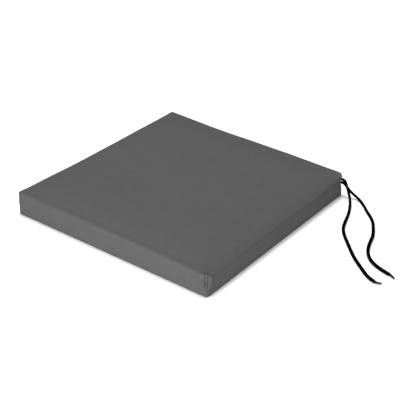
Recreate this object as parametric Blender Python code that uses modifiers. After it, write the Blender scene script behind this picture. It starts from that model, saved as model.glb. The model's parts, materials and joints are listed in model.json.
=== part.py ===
"""Chair seat pad: a flat foam block in a sewn cover, with a zip along its back side and one tie at a corner.

The cover is two panels. The top panel folds down over the sides, and its corners are sewn upright. The
bottom panel closes the base and turns up at the back, where a coil zip joins it to the top panel. The tie
is one cord, folded in two and caught in the seam of the back right corner.

Metres, +Z up, +Y towards the chair's back, +X to the sitter's right. The pad stands on z = 0. It is drawn
about its own middle, and an empty then sets it forward by half of what the zip's slider stands proud.
"""

import math

import bmesh
import bpy
from mathutils import Matrix, Vector

# The pad
FRONT_WIDTH = 0.400
BACK_WIDTH = 0.380
DEPTH = 0.400
HEIGHT = 0.0425
CORNER_RADIUS = 0.006
TOP_EDGE_RADIUS = 0.003
FABRIC = 0.001
GAP = 0.0003

# The foam block inside
FOAM_EASE = 0.0024
FOAM_BACK_EASE = 0.0045
FOAM_CORNER_RADIUS = 0.020
FOAM_EDGE_RADIUS = 0.002

# Thread: the seams' is fine, the zip's top stitching is stouter
SEAM_THREAD = 0.00035
TOP_THREAD = 0.0003
TOP_STITCH_MARGIN = 0.0025

# The zip
ZIP_HEIGHT = 0.021
MOUTH_HALF_LENGTH = 0.165
MOUTH_HALF_HEIGHT = 0.0055
TAPE = 0.0006
TAPE_INNER_EDGE = 0.00155
TAPE_OUTER_EDGE = 0.0125
TAPE_HALF_LENGTH = 0.175
COIL_RADIUS = 0.0011
COIL_CLOSED_OFFSET = 0.00125
COIL_OPEN_OFFSET = 0.0026
COIL_HALF_LENGTH = 0.158
STOP_LENGTH = 0.002

# The zip's slider and pull tab
SLIDER_LENGTH = 0.0115
SLIDER_HALF_WIDTH = 0.00475
SLIDER_SIDE_WALL = 0.0008
SLIDER_PLATE = 0.0011
SLIDER_AT_REST = -0.1515
WEDGE_LENGTH = 0.0032
WEDGE_HALF_WIDTH = 0.001
BRIDGE_HALF_LENGTH = 0.0042
BRIDGE_HALF_WIDTH = 0.001
BRIDGE_OPENING = 0.0021
BRIDGE_BAR = 0.0008
TAB_LENGTH = 0.022
TAB_WIDTH = 0.0072
TAB_THICKNESS = 0.0012
TAB_WINDOW_HALF_WIDTH = 0.0016
TAB_WINDOW_LENGTH = 0.0054

# The tie
CORD_RADIUS = 0.0025
TIP_RADIUS = 0.0014
TIP_LENGTH = 0.014
CORD_STEP = 0.010
SLOT_CLEARANCE = 0.0006
BARTACK = (0.0025, 0.0008, 0.011)

# Depths of the zip's layers, measured from the middle of the pad towards its back
BACK_FACE = DEPTH / 2
TAPE_OUTSIDE = BACK_FACE - FABRIC - GAP
TAPE_INSIDE = TAPE_OUTSIDE - TAPE
COIL_CENTRE = TAPE_OUTSIDE + GAP + COIL_RADIUS
TOP_PLATE_INSIDE = COIL_CENTRE + COIL_RADIUS + GAP
TOP_PLATE_OUTSIDE = TOP_PLATE_INSIDE + SLIDER_PLATE
BOTTOM_PLATE_INSIDE = TAPE_INSIDE - GAP
TAB_AXIS = TOP_PLATE_OUTSIDE + BRIDGE_OPENING / 2
SLIDER_OUTSIDE = TOP_PLATE_OUTSIDE + BRIDGE_OPENING + BRIDGE_BAR

# The routes of the tie's two strands, from inside the corner seam to their tips, chosen by hand
UPPER_ROUTE = [
    (0.1858, 0.1969, 0.0314),
    (0.1884, 0.1984, 0.0314),
    (0.1928, 0.1994, 0.0313),
    (0.1986, 0.1978, 0.0300),
    (0.2048, 0.1932, 0.0262),
    (0.2104, 0.1894, 0.0206),
    (0.2152, 0.1866, 0.0142),
    (0.2204, 0.1816, 0.0084),
    (0.2270, 0.1708, 0.0042),
    (0.2355, 0.1538, 0.0028),
    (0.2420, 0.1375, 0.0027),
    (0.2478, 0.1216, 0.0027),
    (0.2542, 0.1066, 0.0027),
    (0.2634, 0.0926, 0.0027),
    (0.2760, 0.0786, 0.0027),
    (0.2900, 0.0646, 0.0027),
    (0.3046, 0.0500, 0.0027),
    (0.3196, 0.0362, 0.0027),
    (0.3350, 0.0242, 0.0027),
    (0.3488, 0.0138, 0.0027),
    (0.3604, 0.0056, 0.0027),
    (0.3696, 0.0009, 0.0027),
    (0.3780, -0.0016, 0.0027),
]
LOWER_ROUTE = [
    (0.1858, 0.1969, 0.0261),
    (0.1884, 0.1984, 0.0261),
    (0.1923, 0.2000, 0.0257),
    (0.1968, 0.2008, 0.0234),
    (0.2020, 0.2008, 0.0194),
    (0.2078, 0.2014, 0.0140),
    (0.2148, 0.2026, 0.0088),
    (0.2234, 0.2024, 0.0050),
    (0.2336, 0.1976, 0.0031),
    (0.2466, 0.1870, 0.0027),
    (0.2604, 0.1744, 0.0027),
    (0.2730, 0.1638, 0.0027),
    (0.2836, 0.1526, 0.0027),
    (0.2930, 0.1388, 0.0027),
    (0.3012, 0.1252, 0.0027),
    (0.3078, 0.1116, 0.0027),
    (0.3128, 0.0968, 0.0027),
    (0.3188, 0.0810, 0.0027),
    (0.3262, 0.0668, 0.0027),
    (0.3348, 0.0552, 0.0027),
    (0.3452, 0.0462, 0.0027),
    (0.3564, 0.0398, 0.0027),
    (0.3670, 0.0357, 0.0027),
    (0.3770, 0.0328, 0.0027),
    (0.3866, 0.0306, 0.0027),
]

# Colour (linear red, green, blue), roughness and metallic of each finish
FINISHES = {
    "polyester": ((0.115, 0.115, 0.117), 0.85, 0.0),
    "foam": ((0.62, 0.58, 0.45), 0.95, 0.0),
    "thread": ((0.07, 0.07, 0.072), 0.7, 0.0),
    "zip_tape": ((0.05, 0.05, 0.052), 0.85, 0.0),
    "zip_coil": ((0.03, 0.03, 0.031), 0.4, 0.0),
    "zinc": ((0.30, 0.30, 0.31), 0.35, 1.0),
    "cord": ((0.006, 0.006, 0.006), 0.7, 0.0),
}


def make_collection(name):
    """A new collection in the scene."""
    collection = bpy.data.collections.new(name)
    bpy.context.scene.collection.children.link(collection)
    return collection


def add_object(name, data, finish, shadow=False):
    """Put data in the scene as a piece of the pad or, as a shadow, as a helper that only shapes pieces."""
    obj = bpy.data.objects.new(name, data)
    obj.parent = bpy.data.objects["pad_frame"]
    if shadow:
        bpy.data.collections["helpers"].objects.link(obj)
        obj.display_type = "WIRE"
        obj.hide_render = True
        return obj
    bpy.data.collections["chair_seat_pad"].objects.link(obj)
    colour, roughness, metallic = FINISHES[finish]
    material = bpy.data.materials.new(name + "_" + finish)
    material.use_nodes = True
    shader = material.node_tree.nodes["Principled BSDF"]
    shader.inputs["Base Color"].default_value = (*colour, 1)
    shader.inputs["Roughness"].default_value = roughness
    shader.inputs["Metallic"].default_value = metallic
    obj.data.materials.append(material)
    return obj


def mesh_from(bm, name):
    """Turn a bmesh into a mesh, smooth but for its sharp edges."""
    mesh = bpy.data.meshes.new(name)
    bm.to_mesh(mesh)
    bm.free()
    mesh.shade_smooth()
    mesh.set_sharp_from_angle(angle=math.radians(35))
    return mesh


def box(name, low, high, finish=None, bevel=0.0, shadow=False):
    """A box between two corners, with its edges rounded by bevel."""
    low, high = Vector(low), Vector(high)
    bm = bmesh.new()
    size = high - low
    bmesh.ops.create_cube(bm, size=1)
    bmesh.ops.scale(bm, verts=bm.verts, vec=size)
    bmesh.ops.translate(bm, verts=bm.verts, vec=(low + high) / 2)
    if bevel:
        bmesh.ops.bevel(bm, geom=bm.edges[:], offset=bevel, segments=2, profile=0.5, affect="EDGES")
    return add_object(name, mesh_from(bm, name), finish, shadow)


def boolean(obj, other, operation):
    """Join other to obj, or cut it away."""
    modifier = obj.modifiers.new(other.name, "BOOLEAN")
    modifier.operation = operation
    modifier.object = other
    modifier.solver = "EXACT"


def cord_curve(name, points, radius, finish, closed=False):
    """A round tube along a run of points."""
    curve = bpy.data.curves.new(name, "CURVE")
    curve.dimensions = "3D"
    curve.bevel_depth = radius
    curve.bevel_resolution = 2
    curve.use_fill_caps = not closed
    spline = curve.splines.new("POLY")
    spline.points.add(len(points) - 1)
    for point, place in zip(spline.points, points):
        point.co = (*place, 1)
    spline.use_cyclic_u = closed
    return add_object(name, curve, finish)


def half_width(y, inset=0.0):
    """Half of the pad's width at y, for an outline drawn in by inset."""
    slope = (FRONT_WIDTH - BACK_WIDTH) / 2 / DEPTH
    middle = (FRONT_WIDTH + BACK_WIDTH) / 4
    return middle - slope * y - inset * math.hypot(1, slope)


def tapered_block(inset, back_inset, low, high, corner_radius):
    """The pad's outline, drawn in by an inset, as a solid with its four upright edges rounded."""
    bm = bmesh.new()
    bmesh.ops.create_cube(bm, size=2)
    for vert in bm.verts:
        y = DEPTH / 2 - back_inset if vert.co.y > 0 else -DEPTH / 2 + inset
        x = half_width(y, inset)
        vert.co = (math.copysign(x, vert.co.x), y, high if vert.co.z > 0 else low)
    upright = [e for e in bm.edges if abs(e.verts[0].co.z - e.verts[1].co.z) > GAP]
    bmesh.ops.bevel(bm, geom=upright, offset=corner_radius, segments=4, profile=0.5, affect="EDGES")
    return bm


def round_rim(bm, height, radius):
    """Round the edges around the face that lies at a height."""
    rim = [
        e
        for e in bm.edges
        if all(abs(v.co.z - height) < GAP / 2 for v in e.verts)
        and any(abs(f.normal.z) < 0.5 for f in e.link_faces)
    ]
    bmesh.ops.bevel(bm, geom=rim, offset=radius, segments=3, profile=0.5, affect="EDGES")


def corner_places(inset):
    """The four rounded corners of an outline: for each, the middle of its arc and its angle."""
    slant = math.atan2((FRONT_WIDTH - BACK_WIDTH) / 2, DEPTH)
    front, back = -DEPTH / 2 + CORNER_RADIUS, DEPTH / 2 - CORNER_RADIUS
    places = {}
    for side, sign in (("right", 1), ("left", -1)):
        for end, y, turn in (("front", front, -math.pi / 4), ("back", back, math.pi / 4)):
            angle = turn + slant / 2
            centre = Vector((half_width(y, CORNER_RADIUS), y))
            reach = CORNER_RADIUS - inset
            place = centre + reach * Vector((math.cos(angle), math.sin(angle)))
            places[end + "_" + side] = (sign * place.x, place.y)
    return places


def foam_core():
    """The cut polyurethane block that fills the cover."""
    low = FABRIC + 2 * GAP
    high = HEIGHT - FABRIC - GAP
    bm = tapered_block(FOAM_EASE, FOAM_BACK_EASE, low, high, FOAM_CORNER_RADIUS)
    round_rim(bm, high, FOAM_EDGE_RADIUS)
    round_rim(bm, low, FOAM_EDGE_RADIUS)
    add_object("foam_core", mesh_from(bm, "foam_core"), "foam")


def zip_mouth():
    """The helper that opens both panels along the zip."""
    return box(
        "zip_mouth",
        (-MOUTH_HALF_LENGTH, BACK_FACE - 4 * FABRIC, ZIP_HEIGHT - MOUTH_HALF_HEIGHT),
        (MOUTH_HALF_LENGTH, BACK_FACE + FABRIC, ZIP_HEIGHT + MOUTH_HALF_HEIGHT),
        shadow=True,
    )


def straight_back_half():
    """Half the length of the straight run of the pad's back edge, between its corners."""
    return half_width(BACK_FACE - CORNER_RADIUS, CORNER_RADIUS)


def tie_slot():
    """The helper that opens the back right corner's seam where the tie's two strands leave it."""
    start, leave = Vector(UPPER_ROUTE[0]), Vector(UPPER_ROUTE[1])
    out = (leave - start).normalized()
    reach = CORD_RADIUS + SLOT_CLEARANCE
    low = LOWER_ROUTE[0][2] - reach
    high = UPPER_ROUTE[0][2] + reach
    length = 2 * CORNER_RADIUS
    slot = box("tie_slot", (0, -reach, low), (length, reach, high), shadow=True)
    base = start - out * FABRIC
    slot.data.transform(Matrix.Rotation(math.atan2(out.y, out.x), 4, "Z"))
    slot.data.transform(Matrix.Translation((base.x, base.y, 0)))
    return slot


def cover_top_panel(mouth, slot):
    """The top of the cover, folded down over the sides, and at the back only as far as the zip."""
    low = FABRIC + GAP
    bm = tapered_block(0, 0, low, HEIGHT, CORNER_RADIUS)
    bmesh.ops.delete(bm, geom=[f for f in bm.faces if f.normal.z < -0.5], context="FACES_ONLY")
    round_rim(bm, HEIGHT, TOP_EDGE_RADIUS)
    panel = add_object("cover_top_panel", mesh_from(bm, "cover_top_panel"), "polyester")
    wall = panel.modifiers.new("fabric", "SOLIDIFY")
    wall.thickness = FABRIC
    wall.offset = -1
    wall.use_even_offset = True
    half = straight_back_half() + GAP
    below_zip = box(
        "below_zip",
        (-half, BACK_FACE - 2 * FABRIC, -FABRIC),
        (half, BACK_FACE + FABRIC, ZIP_HEIGHT + GAP / 2),
        shadow=True,
    )
    boolean(panel, below_zip, "DIFFERENCE")
    boolean(panel, mouth, "DIFFERENCE")
    boolean(panel, slot, "DIFFERENCE")


def cover_bottom_panel(mouth):
    """The base of the cover, turned up at the back as far as the zip."""
    bm = tapered_block(0, 0, 0, FABRIC, CORNER_RADIUS)
    panel = add_object("cover_bottom_panel", mesh_from(bm, "cover_bottom_panel"), "polyester")
    half = straight_back_half()
    strip = box(
        "turned_up_strip",
        (-half, BACK_FACE - FABRIC, FABRIC / 2),
        (half, BACK_FACE, ZIP_HEIGHT - GAP / 2),
        shadow=True,
    )
    boolean(panel, strip, "UNION")
    boolean(panel, mouth, "DIFFERENCE")


def seam_threads():
    """The lockstitch inside the turned seams: one run up each corner and one around the base."""
    inset = FABRIC + GAP + SEAM_THREAD
    low = 2 * inset - FABRIC
    high = HEIGHT - TOP_EDGE_RADIUS - FABRIC
    reach = CORD_RADIUS + 2 * GAP + SLOT_CLEARANCE
    runs = {}
    for corner, place in corner_places(inset).items():
        runs["corner_seam_" + corner] = (place, low, high)
    place, low, high = runs.pop("corner_seam_back_right")
    runs["corner_seam_back_right_lower"] = (place, low, LOWER_ROUTE[0][2] - reach)
    runs["corner_seam_back_right_upper"] = (place, UPPER_ROUTE[0][2] + reach, high)
    for name, (place, start, end) in runs.items():
        cord_curve(name, [(*place, start), (*place, end)], SEAM_THREAD, "thread")
    rim = tapered_block(inset, inset, 0, 1, CORNER_RADIUS - inset)
    ring = [v.co.xy for v in rim.verts if v.co.z < GAP]
    rim.free()
    ring.sort(key=lambda p: math.atan2(p.y, p.x))
    cord_curve("base_seam", [(*p, inset) for p in ring], SEAM_THREAD, "thread", closed=True)


def zip_tapes():
    """The two woven tapes behind the edges of the opening."""
    for name, side in (("zip_tape_upper", 1), ("zip_tape_lower", -1)):
        edges = sorted(ZIP_HEIGHT + side * edge for edge in (TAPE_INNER_EDGE, TAPE_OUTER_EDGE))
        low = (-TAPE_HALF_LENGTH, TAPE_INSIDE, edges[0])
        high = (TAPE_HALF_LENGTH, TAPE_OUTSIDE, edges[1])
        box(name, low, high, "zip_tape")


def zip_coils():
    """The two coil rows, closed against each other and parting inside the slider at rest."""
    tail = SLIDER_AT_REST + SLIDER_LENGTH / 2
    wedge = SLIDER_AT_REST - SLIDER_LENGTH / 2 + WEDGE_LENGTH
    for name, side in (("zip_coil_upper", 1), ("zip_coil_lower", -1)):
        places = [(COIL_HALF_LENGTH, COIL_CLOSED_OFFSET), (tail, COIL_CLOSED_OFFSET)]
        steps = 4
        for step in range(steps):
            share = (step + 0.5) / steps
            offset = (1 - share) * COIL_CLOSED_OFFSET + share * COIL_OPEN_OFFSET
            places.append((tail + share * (wedge - tail), offset))
        places.append((wedge, COIL_OPEN_OFFSET))
        places.append((-COIL_HALF_LENGTH, COIL_OPEN_OFFSET))
        route = [(x, COIL_CENTRE, ZIP_HEIGHT + side * offset) for x, offset in places]
        cord_curve(name, route, COIL_RADIUS, "zip_coil")


def zip_stops():
    """The stops past the ends of the coils: one for each row at the closed end, one for both at the other."""
    reach = COIL_RADIUS + GAP / 3
    start = COIL_HALF_LENGTH + GAP
    low, high = TAPE_OUTSIDE + GAP / 2, COIL_CENTRE + reach
    for name, side in (("zip_top_stop_upper", 1), ("zip_top_stop_lower", -1)):
        z = ZIP_HEIGHT + side * COIL_OPEN_OFFSET
        near = (-start - STOP_LENGTH, low, z - reach)
        far = (-start, high, z + reach)
        box(name, near, far, "zinc", bevel=0.0003)
    half = COIL_CLOSED_OFFSET + reach
    near = (start, low, ZIP_HEIGHT - half)
    far = (start + STOP_LENGTH, high, ZIP_HEIGHT + half)
    box("zip_bottom_stop", near, far, "zinc", bevel=0.0003)


def zip_stitching():
    """The rows of top stitching that hold the tapes behind the opening's edges."""
    y = BACK_FACE + GAP + TOP_THREAD
    for name, side in (("zip_stitching_upper", 1), ("zip_stitching_lower", -1)):
        z = ZIP_HEIGHT + side * (MOUTH_HALF_HEIGHT + TOP_STITCH_MARGIN)
        ends = [(-MOUTH_HALF_LENGTH, y, z), (MOUTH_HALF_LENGTH, y, z)]
        cord_curve(name, ends, TOP_THREAD, "thread")


def zip_slider_body():
    """The slider: two plates held apart by a wedge, side walls on the outer plate, and a bridge on top."""
    front = SLIDER_AT_REST - SLIDER_LENGTH / 2
    tail = SLIDER_AT_REST + SLIDER_LENGTH / 2
    low, high = ZIP_HEIGHT - SLIDER_HALF_WIDTH, ZIP_HEIGHT + SLIDER_HALF_WIDTH
    body = box(
        "zip_slider_body",
        (front, TOP_PLATE_INSIDE, low),
        (tail, TOP_PLATE_OUTSIDE, high),
        "zinc",
        bevel=0.0003,
    )
    bottom_outside = BOTTOM_PLATE_INSIDE - SLIDER_PLATE
    wall_end = TAPE_OUTSIDE + GAP
    lap = SLIDER_PLATE / 2
    post = BRIDGE_HALF_LENGTH - BRIDGE_BAR
    bridge_low, bridge_high = ZIP_HEIGHT - BRIDGE_HALF_WIDTH, ZIP_HEIGHT + BRIDGE_HALF_WIDTH
    joined = {
        "slider_bottom_plate": ((front, bottom_outside, low), (tail, BOTTOM_PLATE_INSIDE, high)),
        "slider_upper_wall": (
            (front, wall_end, high - SLIDER_SIDE_WALL),
            (tail, TOP_PLATE_INSIDE + lap, high),
        ),
        "slider_lower_wall": (
            (front, wall_end, low),
            (tail, TOP_PLATE_INSIDE + lap, low + SLIDER_SIDE_WALL),
        ),
        "slider_wedge": (
            (front, bottom_outside + lap, ZIP_HEIGHT - WEDGE_HALF_WIDTH),
            (front + WEDGE_LENGTH, TOP_PLATE_INSIDE + lap, ZIP_HEIGHT + WEDGE_HALF_WIDTH),
        ),
        "slider_bridge": (
            (SLIDER_AT_REST - BRIDGE_HALF_LENGTH, TOP_PLATE_OUTSIDE - lap, bridge_low),
            (SLIDER_AT_REST + BRIDGE_HALF_LENGTH, SLIDER_OUTSIDE, bridge_high),
        ),
    }
    for name, (near, far) in joined.items():
        boolean(body, box(name, near, far, shadow=True), "UNION")
    opening = box(
        "slider_bridge_opening",
        (SLIDER_AT_REST - post, TOP_PLATE_OUTSIDE, bridge_low - GAP),
        (SLIDER_AT_REST + post, TOP_PLATE_OUTSIDE + BRIDGE_OPENING, bridge_high + GAP),
        shadow=True,
    )
    boolean(body, opening, "DIFFERENCE")


def zip_pull_tab():
    """The pull tab, a plate whose window hooks over the bridge. Its origin is on the bar it turns about."""
    bar = TAB_THICKNESS / 2
    bm = bmesh.new()
    bmesh.ops.create_cube(bm, size=1)
    bmesh.ops.scale(bm, verts=bm.verts, vec=(TAB_LENGTH + bar, TAB_THICKNESS, TAB_WIDTH))
    bmesh.ops.translate(bm, verts=bm.verts, vec=((TAB_LENGTH - bar) / 2, 0, 0))
    upright = [e for e in bm.edges if abs(e.verts[0].co.y - e.verts[1].co.y) > GAP]
    bmesh.ops.bevel(bm, geom=upright, offset=0.0015, segments=3, profile=0.5, affect="EDGES")
    bmesh.ops.bevel(bm, geom=bm.edges[:], offset=0.0002, segments=1, profile=0.5, affect="EDGES")
    tab = add_object("zip_pull_tab", mesh_from(bm, "zip_pull_tab"), "zinc")
    tab.location = (SLIDER_AT_REST, TAB_AXIS, ZIP_HEIGHT)
    window = box(
        "tab_window",
        (bar, -TAB_THICKNESS, -TAB_WINDOW_HALF_WIDTH),
        (bar + TAB_WINDOW_LENGTH, TAB_THICKNESS, TAB_WINDOW_HALF_WIDTH),
        shadow=True,
    )
    window.location = tab.location
    boolean(tab, window, "DIFFERENCE")


def smooth_run(route, step):
    """Points about a step apart along a smooth curve through a route's own points.

    The route's second point, where a strand leaves the seam, is always one of them.
    """
    points = [Vector(p) for p in route]
    guides = [2 * points[0] - points[1], *points, 2 * points[-1] - points[-2]]
    fine = []
    for a, b, c, d in zip(guides, guides[1:], guides[2:], guides[3:]):
        for share in (0, 0.25, 0.5, 0.75):
            bend = (2 * a - 5 * b + 4 * c - d) * share**2 + (3 * b - a - 3 * c + d) * share**3
            fine.append(b + 0.5 * ((c - a) * share + bend))
    fine.append(points[-1])
    second = fine.index(points[1])
    run, travelled = [fine[0], fine[second]], 0.0
    for near, far in zip(fine[second:], fine[second + 1 :]):
        travelled += (far - near).length
        if travelled >= step:
            run.append(far)
            travelled = 0.0
    if travelled > step / 2:
        run.append(fine[-1])
    else:
        run[-1] = fine[-1]
    return run


def tie():
    """The tie: two strands, the fold that joins them inside the seam, its bar tack and the sealed tips."""
    for name, route in (("upper", UPPER_ROUTE), ("lower", LOWER_ROUTE)):
        run = smooth_run(route, CORD_STEP)
        cord_curve("tie_strand_" + name, run, CORD_RADIUS, "cord")
        along = (run[-1] - run[-2]).normalized()
        start = run[-1] + along * GAP
        cord_curve("tie_tip_" + name, [start, start + along * TIP_LENGTH], TIP_RADIUS, "cord")

    top, bottom = Vector(UPPER_ROUTE[0]), Vector(LOWER_ROUTE[0])
    inward = (top - Vector(UPPER_ROUTE[1])).normalized()
    radius = (top.z - bottom.z) / 2
    middle = (top + bottom) / 2 + inward * 2 * GAP
    fold = [top + inward * GAP]
    steps = 8
    for step in range(steps + 1):
        turn = math.pi * step / steps
        fold.append(middle + inward * radius * math.sin(turn) + Vector((0, 0, radius * math.cos(turn))))
    fold.append(bottom + inward * GAP)
    cord_curve("tie_fold", fold, CORD_RADIUS, "cord")

    length, thickness, height = BARTACK
    aside = Vector((-inward.y, inward.x, 0))
    centre = middle + aside * (CORD_RADIUS + GAP + thickness / 2)
    half = Vector((length, thickness, height)) / 2
    tack = box("tie_bartack", -half, half, "thread")
    tack.data.transform(Matrix.Rotation(math.atan2(inward.y, inward.x), 4, "Z"))
    tack.data.transform(Matrix.Translation(centre))


def build():
    for obj in list(bpy.data.objects):
        bpy.data.objects.remove(obj)
    make_collection("chair_seat_pad")
    make_collection("helpers")
    frame = bpy.data.objects.new("pad_frame", None)
    frame.location = (0, -(SLIDER_OUTSIDE - BACK_FACE) / 2, 0)
    bpy.context.scene.collection.objects.link(frame)
    mouth = zip_mouth()
    foam_core()
    cover_top_panel(mouth, tie_slot())
    cover_bottom_panel(mouth)
    seam_threads()
    zip_tapes()
    zip_coils()
    zip_stops()
    zip_stitching()
    zip_slider_body()
    zip_pull_tab()
    tie()


build()
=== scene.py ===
"""Chair seat pad: how it looks.

A flat foam pad in a sewn cover of dark grey coated polyester, with a coil zip along its back side and one
braided tie caught in the seam of its back right corner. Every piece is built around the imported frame, in
metres, and rides on one of its bodies: the pad, the zip's slider or its pull tab.
"""

import json
import math

import bmesh
import bpy
from mathutils import Matrix, Vector, noise


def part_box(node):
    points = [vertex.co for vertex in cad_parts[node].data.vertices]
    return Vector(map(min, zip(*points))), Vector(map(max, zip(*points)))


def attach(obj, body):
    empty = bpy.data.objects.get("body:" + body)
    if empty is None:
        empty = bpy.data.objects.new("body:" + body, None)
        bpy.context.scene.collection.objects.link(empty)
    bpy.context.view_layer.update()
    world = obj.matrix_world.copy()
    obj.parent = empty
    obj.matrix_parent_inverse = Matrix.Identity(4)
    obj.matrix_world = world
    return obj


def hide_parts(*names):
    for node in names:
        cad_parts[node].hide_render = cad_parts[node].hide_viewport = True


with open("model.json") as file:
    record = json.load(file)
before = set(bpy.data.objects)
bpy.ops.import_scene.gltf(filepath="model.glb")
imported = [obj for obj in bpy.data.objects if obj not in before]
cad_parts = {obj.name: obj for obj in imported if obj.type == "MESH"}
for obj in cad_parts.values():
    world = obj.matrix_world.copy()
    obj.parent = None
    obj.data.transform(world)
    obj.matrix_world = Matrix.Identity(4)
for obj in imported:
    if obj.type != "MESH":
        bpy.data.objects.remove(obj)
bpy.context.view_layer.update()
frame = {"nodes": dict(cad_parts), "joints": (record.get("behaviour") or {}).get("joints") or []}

MM = 0.001
# Two places closer than this, in metres, are the same place
TOUCH = 1e-5

# -------- places, read from the frame
TOP_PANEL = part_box("cover_top_panel")
PAD_MIDDLE = (TOP_PANEL[0] + TOP_PANEL[1]) / 2
HALF_WIDTH = (TOP_PANEL[1].x - TOP_PANEL[0].x) / 2
HALF_DEPTH = (TOP_PANEL[1].y - TOP_PANEL[0].y) / 2
HEIGHT = TOP_PANEL[1].z
ZIP_MIDDLE = (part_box("zip_bottom_stop")[0].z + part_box("zip_bottom_stop")[1].z) / 2
COIL_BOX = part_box("zip_coil_upper")
TAPE_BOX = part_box("zip_tape_upper")
SLIDER_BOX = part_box("zip_slider_body")
# The wedge inside the slider keeps the two rows of coil apart as far as this place along the zip
WEDGE_END = SLIDER_BOX[0].x + 3.2 * MM
TAB_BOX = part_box("zip_pull_tab")
TAB_AXIS = Vector(next(j for j in frame["joints"] if j["name"] == "pull_tab_hinge")["pos_m"])

# -------- the pad's own sizes
BACK_HALF_WIDTH = 190 * MM
# Each corner's radius seen from above, in mm, at the base and at the top. A corner's key is -1 at the left
# or 1 at the right, and then -1 at the front or 1 at the back
CORNER_RADII = {(-1, -1): (2.2, 2.2), (1, -1): (4.0, 14.0), (-1, 1): (3.2, 3.2), (1, 1): (2.2, 2.2)}
# How softly each side rolls in at the base, and over at the top half way along it and at its corners
BASE_ROLL = {"front": 3.0 * MM, "right": 4.0 * MM, "back": 3.0 * MM, "left": 3.0 * MM}
ROLL = {"front": 3.4 * MM, "right": 4.5 * MM, "back": 2.6 * MM, "left": 4.0 * MM}
CORNER_ROLL = 1.6 * MM
CORNER_BASE_ROLL = 1.2 * MM
# How far each side stands out, in mm, near the base and near the top
STAND = {"front": (1.6, 1.6), "right": (1.7, 2.2), "back": (0.8, 1.3), "left": (0.8, 1.3)}
# How far each top edge rises or sags, in mm, at places along it from -1 to 1
EDGE_RISE = {
    "front": [(-1, 0.0), (-0.5, -0.4), (0.3, -0.8), (0.7, -2.0), (0.92, -3.0), (1, -3.2)],
    "right": [(-1, -3.2), (-0.8, -3.0), (-0.4, -2.0), (0.4, -1.0), (1, 1.8)],
    "back": [(-1, 1.2), (-0.4, -0.1), (0.1, 1.4), (0.4, 2.1), (1, 1.8)],
    "left": [(-1, 0.0), (-0.7, 0.0), (-0.3, -1.3), (0.1, -0.7), (0.6, 0.8), (1, 1.2)],
}
# How far each corner is drawn out by its seam, in mm, at the base and at the top
CORNER_PULL = {(-1, -1): (1.5, 1.5), (1, -1): (0.0, 0.0), (-1, 1): (0.8, 0.8), (1, 1): (2.1, 0.9)}
# How far the right side's top edge droops below the top, and how far in from it the droop starts
DROOP = 5.0 * MM
DROOP_REACH = 18 * MM
CLOTH = 0.8 * MM
# How far the middle of the top stands above its edges, and how far the cloth may swell from its place
CROWN = 1.6 * MM
SWELL_CAP = 2.2 * MM
GRID = 7 * MM
# The zip's opening, and where its end comes on the plain block, whose back is as wide as its front
MOUTH_HALF_HEIGHT = 5.5 * MM
MOUTH_HALF_LENGTH = 161.2 * MM
MOUTH_END = MOUTH_HALF_LENGTH * HALF_WIDTH / BACK_HALF_WIDTH
STITCH_MARGIN = 2.5 * MM
# How far the top panel reaches round each end of the back, and how high the tie comes out of its seam
BACK_ALLOWANCE = 6.3 * MM
TIE_HEIGHT = 31 * MM

# Grid lines near an edge of the pad, measured in from the edge: fine enough for the folds at its corners
EDGE_LINES = [0.9 * MM * step for step in range(1, 25)]
# Grid lines above and below the zip's opening, for its folded edges
MOUTH_LINES = [d * MM for d in (0.0, 0.6, 1.4, 2.5, 3.6)]

# The folds beside a corner seam: how far from it, how high they stand and how wide they are, all in mm
FRONT_FOLDS = [(2.2, 0.8, 1.2), (5.0, -1.1, 1.5), (9.0, 1.0, 2.2), (15.0, -0.9, 2.8)]
SIDE_FOLDS = [(6.5, 1.6, 4.2)]

# -------- the tie
TIP_DIAMETER = 3.5 * MM
TIP_LENGTH = 14 * MM
# The braid is a hollow one: slack, it spreads where it lies on the floor, and it thins where it hangs
HANGING_RADIUS = 2.45 * MM
LYING_RADIUS = 2.9 * MM
# Which way each sealed tip points, as it springs out of the strand's end
TIP_AHEAD = {"upper": Vector((0.97, 0.24, 0)), "lower": Vector((0.90, -0.44, 0))}
# The two strands' routes from inside the corner seam to their tips, before the frame's own shift in y
FRAME_SHIFT = Vector((0, PAD_MIDDLE.y, 0))
LYING_HEIGHT = 0.0029
UPPER_ROUTE = [
    (0.1858, 0.1969, 0.0320), (0.1884, 0.1984, 0.0322), (0.1928, 0.1994, 0.0323),
    (0.1986, 0.1978, 0.0311), (0.2048, 0.1932, 0.0267), (0.2104, 0.1894, 0.0206),
    (0.2152, 0.1866, 0.0142), (0.2204, 0.1816, 0.0084), (0.2270, 0.1708, 0.0042),
    (0.2355, 0.1538, 0.0030),
] + [(x, y, LYING_HEIGHT) for x, y in [
    (0.2420, 0.1375), (0.2478, 0.1216), (0.2542, 0.1066), (0.2634, 0.0926),
    (0.2760, 0.0786), (0.2900, 0.0646), (0.3046, 0.0500), (0.3196, 0.0362),
    (0.3350, 0.0242), (0.3488, 0.0138), (0.3604, 0.0056), (0.3696, 0.0009),
    (0.3780, -0.0016),
]]
LOWER_ROUTE = [
    (0.1858, 0.1969, 0.0261), (0.1884, 0.1984, 0.0261), (0.1923, 0.2000, 0.0257),
    (0.1968, 0.2008, 0.0234), (0.2020, 0.2008, 0.0194), (0.2078, 0.2014, 0.0140),
    (0.2148, 0.2026, 0.0088), (0.2234, 0.2024, 0.0050), (0.2336, 0.1976, 0.0031),
] + [(x, y, LYING_HEIGHT) for x, y in [
    (0.2466, 0.1870), (0.2604, 0.1744), (0.2730, 0.1638), (0.2836, 0.1526),
    (0.2930, 0.1388), (0.3012, 0.1252), (0.3078, 0.1116), (0.3128, 0.0968),
    (0.3188, 0.0810), (0.3262, 0.0668), (0.3348, 0.0552), (0.3452, 0.0462),
    (0.3564, 0.0398), (0.3670, 0.0357), (0.3770, 0.0328), (0.3866, 0.0306),
]]


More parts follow.
